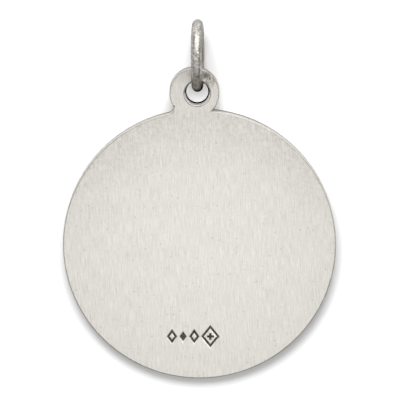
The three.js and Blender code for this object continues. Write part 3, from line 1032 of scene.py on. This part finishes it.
def ring_silver():
    """Duller wire: mottled grey, speckled on its upper side, with painted shade on its ends, flanks and
    underside and where it goes through the hole.
    """
    material, nodes = new_material("wire silver")
    place = local_millimetres(nodes, RING_CENTRE * MM, (0, 0, 0))
    x, y, z = nodes.add("ShaderNodeSeparateXYZ", Vector=place).outputs
    side = nodes.math("SUBTRACT", x, nodes.math("MULTIPLY", z, math.tan(RING_TURN)))
    aside = nodes.math("ABSOLUTE", side)

    cloud = nodes.noise(place, *WIRE_CLOUD_NOISE)
    speck = nodes.noise(place, *WIRE_SPECK_NOISE)
    tone = nodes.total((cloud, 0.45), (speck, 0.55))
    colour = nodes.mix(nodes.ramp(tone, *WIRE_TONE), WIRE_LOW, WIRE_HIGH)
    pits = nodes.pits(place, *WIRE_PITS)
    colour = nodes.mix(nodes.math("MULTIPLY", pits, WIRE_PIT_DARK), colour, TARNISH_AND_SHADE)
    around_pip = nodes.band(nodes.distance(place, PIP_PLACE), *PIP_LINE)
    colour = nodes.mix(nodes.math("MULTIPLY", around_pip, PIP_DARK), colour, TARNISH_AND_SHADE)
    spot = nodes.ramp(nodes.distance(place, SPOT_PLACE), *SPOT_SPAN, 0.0, 0.8)
    colour = nodes.mix(spot, colour, TARNISH_AND_SHADE)
    colour = nodes.mix(wire_shade_along_y(nodes, y), colour, TARNISH_AND_SHADE)
    colour = nodes.mix(wire_side_shade(nodes, side, aside, speck, y, z), colour, TARNISH_AND_SHADE)
    hole_shade_on_wire = wire_shade_in_hole(nodes, aside, y, z)
    colour = nodes.mix(hole_shade_on_wire, colour, OXIDE_AND_SHADE)
    # Painted shade dims the wire's reflection in the hole too.
    shaded_glance_tint = nodes.mix(hole_shade_on_wire, WIRE_EDGE, OXIDE_AND_SHADE)

    rough = nodes.ramp(tone, *WIRE_ROUGH)
    relief = nodes.math("SUBTRACT", speck, nodes.math("MULTIPLY", pits, WIRE_PIT_DEPTH))
    bump = nodes.add("ShaderNodeBump", **WIRE_BUMP, Height=relief)
    shader = nodes.add("ShaderNodeBsdfPrincipled", Base_Color=colour, Roughness=rough,
                       Normal=bump.outputs[0], Metallic=1.0, Specular_Tint=shaded_glance_tint)
    nodes.add("ShaderNodeOutputMaterial", Surface=shader.outputs[0])
    return material


def give_material(piece, material):
    piece.data.materials.clear()
    piece.data.materials.append(material)


def make_floor():
    """White table, a little brighter in the ear hole and beside the neck."""
    deselect()
    bpy.ops.mesh.primitive_plane_add(size=FLOOR_SIZE, location=(0, 0, FLOOR_Z))
    floor = named("floor")
    apply_place(floor)
    material, nodes = new_material("white table")
    place = local_millimetres(nodes, (MEDAL_ORIGIN.x, MEDAL_ORIGIN.y, FLOOR_Z), (0, 0, 0))
    y = nodes.add("ShaderNodeSeparateXYZ", Vector=place).outputs[1]
    under_hole = nodes.ramp(nodes.distance(place, (*HOLE_CENTRE, 0)), *HOLE_GLOW_SPAN, 0.0, HOLE_GLOW)
    glow = nodes.math("MULTIPLY", under_hole, nodes.ramp(y, *HOLE_GLOW_LOW_SPAN, 0.2, 1.0))
    past_neck = nodes.ramp(nodes.distance(place, NECK_GLOW_PLACE), *NECK_GLOW_SPAN, 0.0, NECK_GLOW)
    glow = nodes.math("ADD", glow, past_neck)
    shader = nodes.add("ShaderNodeBsdfPrincipled", Base_Color=FLOOR_COLOUR, Roughness=FLOOR_ROUGH,
                       Specular_IOR_Level=FLOOR_SHINE, Emission_Color=WHITE, Emission_Strength=glow)
    nodes.add("ShaderNodeOutputMaterial", Surface=shader.outputs[0])
    give_material(floor, material)


def make_world():
    """Light tent: bright overhead, dimmer towards the horizon, pale where it is seen directly."""
    world = bpy.data.worlds.new("tent")
    bpy.context.scene.world = world
    world.use_nodes = True
    nodes = Nodes(world.node_tree)
    way = nodes.add("ShaderNodeTexCoord").outputs["Generated"]
    split = nodes.add("ShaderNodeSeparateXYZ", Vector=way)
    height = split.outputs[2]
    level = nodes.ramp(height, TENT_LOW_HEIGHT, TENT_HIGH_HEIGHT, TENT_LOW, TENT_HIGH)
    seen = nodes.add("ShaderNodeLightPath").outputs["Is Camera Ray"]
    change = nodes.math("MULTIPLY", seen, nodes.math("SUBTRACT", TENT_SEEN, level))
    level = nodes.math("ADD", level, change)
    back = nodes.add("ShaderNodeBackground", Color=WHITE, Strength=level)
    nodes.add("ShaderNodeOutputWorld", Surface=back.outputs[0])


def area_light(name, place, width, height, radiance):
    """Soft box that faces the medal and gives the wanted brightness of its own face."""
    deselect()
    bpy.ops.object.light_add(type="AREA", location=place)
    lamp = bpy.context.active_object
    lamp.name = name
    lamp.data.shape = "RECTANGLE"
    lamp.data.size = width
    lamp.data.size_y = height
    lamp.data.energy = radiance * math.pi * width * height
    lamp.rotation_euler = (Vector((0, 0, 0)) - Vector(place)).to_track_quat("-Z", "Y").to_euler()
    return lamp


def make_camera():
    tip = VIEW_OFF_SQUARE - LEAN
    away = Vector((0, math.sin(tip), math.cos(tip)))
    up = Vector((0, away.z, -away.y))
    target = MEDAL_ORIGIN + Vector((VIEW_SHIFT.x * MM, 0, 0)) + up * VIEW_SHIFT.y * MM
    deselect()
    bpy.ops.object.camera_add(location=target + away * CAMERA_DISTANCE)
    camera = bpy.context.active_object
    camera.data.sensor_width = SENSOR_WIDTH
    camera.data.lens = SENSOR_WIDTH * CAMERA_DISTANCE / (VIEW_WIDTH * MM)
    camera.data.clip_start = CLIP_START
    camera.rotation_euler = (-tip, 0, 0)
    bpy.context.scene.camera = camera


make_camera()
medal = make_medal()
ring = make_ring()
give_material(medal, medal_silver())
give_material(ring, ring_silver())

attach(medal, "root")
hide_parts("medal")
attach(ring, "root")
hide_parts("jump_ring")

make_floor()
make_world()
key = area_light("soft box behind the ear", KEY_PLACE, KEY_WIDTH, KEY_HEIGHT, KEY_RADIANCE)
key.visible_diffuse = False
fill = area_light("lamp over the table", FILL_PLACE, FILL_WIDTH, FILL_WIDTH, FILL_RADIANCE)
fill.visible_glossy = False

bpy.context.scene.view_settings.view_transform = "Standard"
